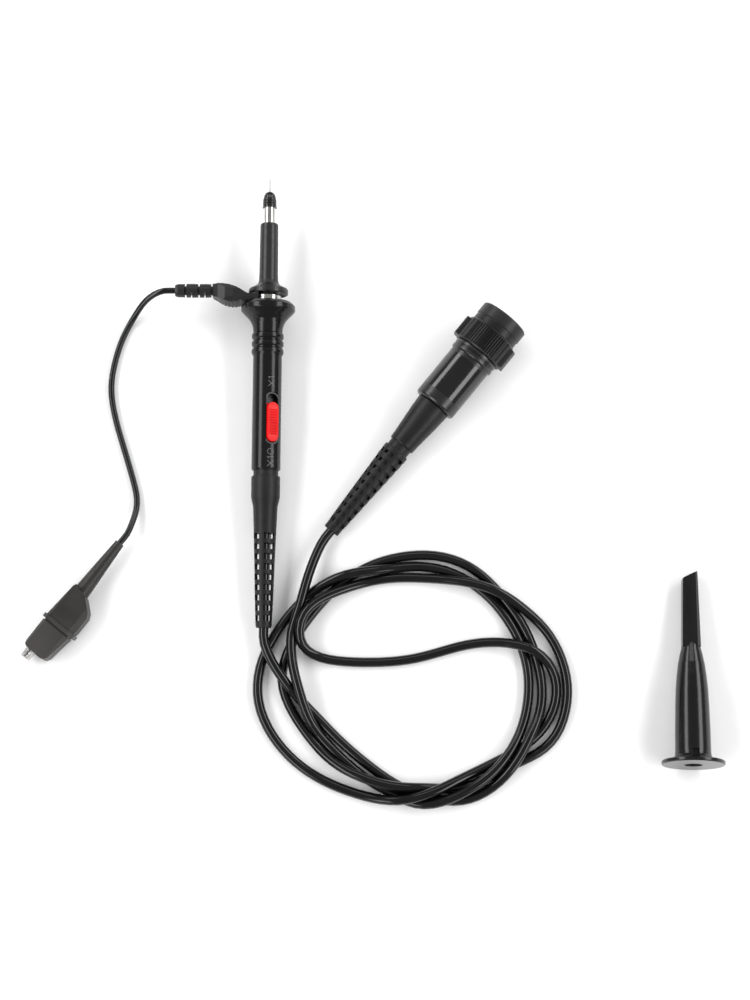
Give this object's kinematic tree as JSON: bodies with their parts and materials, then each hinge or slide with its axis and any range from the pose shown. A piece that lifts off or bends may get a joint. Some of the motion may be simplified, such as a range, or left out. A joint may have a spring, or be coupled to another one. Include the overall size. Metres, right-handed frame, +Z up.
{
  "type": "oscilloscope probe",
  "caption": "Passive test probe with slide switch and needle tip, ground lead with clip, coiled cable, bayonet connector with compensation box, and a retractable hook tip.",
  "frame": {"origin": "on the surface the set lies on, below the middle of the box round the probe body, its ground lead collar and the hook tip", "axes": "+Y along the probe toward its tip, +X to the right seen from above, +Z up from the surface"},
  "size_m": [0.2392, 0.2205, 0.0214],
  "materials": {
    "housing_black": "moulded, satin-gloss black",
    "nickel": "bright nickel plating on brass",
    "ptfe": "natural PTFE",
    "needle_steel": "plain",
    "resistor": "lacquered",
    "pcb_green": "solder mask",
    "chip_parts": "ceramic",
    "gold": "flash gold",
    "ferrule": "crimped brass",
    "cable_black": "PVC jacket",
    "boot_rubber": "matte charcoal",
    "button_red": "moulded, ribbed",
    "core_black": "plain",
    "sleeve_black": "satin",
    "cap_black": "soft moulding",
    "lead_pvc": "soft PVC",
    "lead_wire_black": "PVC wire",
    "clip_pvc": "soft PVC",
    "jaw_nickel": "nickel-plated",
    "spring_steel": "spring wire",
    "coupling_black": "moulded, fine grooves",
    "gasket_red": "silicone",
    "box_black": "moulded",
    "label_black": "bare gloss black label",
    "trimmer": "ceramic",
    "gland_black": "matte moulding",
    "hook_black": "gloss moulding"
  },
  "bodies": {
    "probe": {"probe_housing": "housing_black", "ground_barrel": "nickel", "tip_insulator": "ptfe", "tip_needle": "needle_steel", "tip_resistor": "resistor", "switch_board": "pcb_green", "board_parts": "chip_parts", "switch_pads": "gold", "cable_ferrule": "ferrule", "probe_cable_end": "cable_black", "probe_boot": "boot_rubber", "main_cable": "cable_black", "outer_contact": "nickel", "contact_gasket": "gasket_red", "wave_washer": "spring_steel", "contact_insulator": "ptfe", "centre_pin": "gold", "comp_box": "box_black", "box_label": "label_black", "comp_board": "pcb_green", "comp_parts": "chip_parts", "trimmer_body": "trimmer", "box_ferrule": "ferrule", "box_cable_end": "cable_black", "cone_gland": "gland_black", "conn_boot": "boot_rubber"},
    "switch": {"switch_button": "button_red", "switch_shutter": "core_black", "switch_contact": "gold"},
    "tip_sleeve": {"tip_sleeve": "sleeve_black"},
    "tip_cap": {"tip_cap": "cap_black"},
    "ground_lead": {"ground_ring": "nickel", "ground_paddle": "lead_pvc", "lead_relief": "lead_pvc", "lead_wire": "lead_wire_black", "clip_boot": "clip_pvc", "clip_jaw_fixed": "jaw_nickel", "clip_pin": "jaw_nickel", "clip_spring": "spring_steel"},
    "clip_jaw": {"clip_jaw_moving": "jaw_nickel"},
    "coupling": {"coupling_sleeve": "coupling_black", "bayonet_ring": "nickel"},
    "trimmer": {"trimmer_screw": "gold"},
    "hook_base": {"hook_core": "core_black", "hook_socket": "nickel", "hook_wire": "nickel", "hook_spring": "spring_steel"},
    "hook_shell": {"hook_shell": "hook_black"}
  },
  "joints": [
    {"name": "range_switch", "type": "slide", "parent": "probe", "child": "switch", "axis": [0.007, 0.9989, 0.0454], "range_m": [0, 0.0028]},
    {"name": "sleeve_slide", "type": "slide", "parent": "probe", "child": "tip_sleeve", "axis": [0.007, 0.9989, 0.0454], "range_m": [0, 0.0055]},
    {"name": "cap_pull", "type": "slide", "parent": "probe", "child": "tip_cap", "axis": [0.007, 0.9989, 0.0454], "range_m": [0, 0.012]},
    {"name": "ground_lead_swing", "type": "hinge", "parent": "probe", "child": "ground_lead", "pos_m": [-0.06129, 0.059, 0.00969], "axis": [0.007, 0.9989, 0.0454], "range_deg": [0, 90]},
    {"name": "clip_pivot", "type": "hinge", "parent": "ground_lead", "child": "clip_jaw", "pos_m": [-0.13071, -0.04969, 0.0047], "axis": [0, 0, 1], "range_deg": [0, 10], "stiffness_Nm_per_rad": 0.03, "springref_deg": -17.19, "deforming": ["clip_spring"]},
    {"name": "coupling_turn", "type": "hinge", "parent": "probe", "child": "coupling", "pos_m": [0.01695, 0.04682, 0.00995], "axis": [0.6319, 0.772, 0.0689], "range_deg": [0, 90]},
    {"name": "trimmer_turn", "type": "hinge", "parent": "probe", "child": "trimmer", "pos_m": [0.00364, 0.03057, 0.00925], "axis": [0.0436, 0.0533, -0.9976], "continuous": true},
    {"name": "hook_tip_lift", "type": "slide", "parent": "probe", "child": "hook_base", "axis": [0, 0, 1], "range_m": [0, 0.06]},
    {"name": "hook_retract", "type": "slide", "parent": "hook_base", "child": "hook_shell", "axis": [-0.0277, -0.9924, 0.1201], "range_m": [0, 0.006], "stiffness_N_per_m": 150, "springref_m": -0.004, "deforming": ["hook_spring"]}
  ]
}
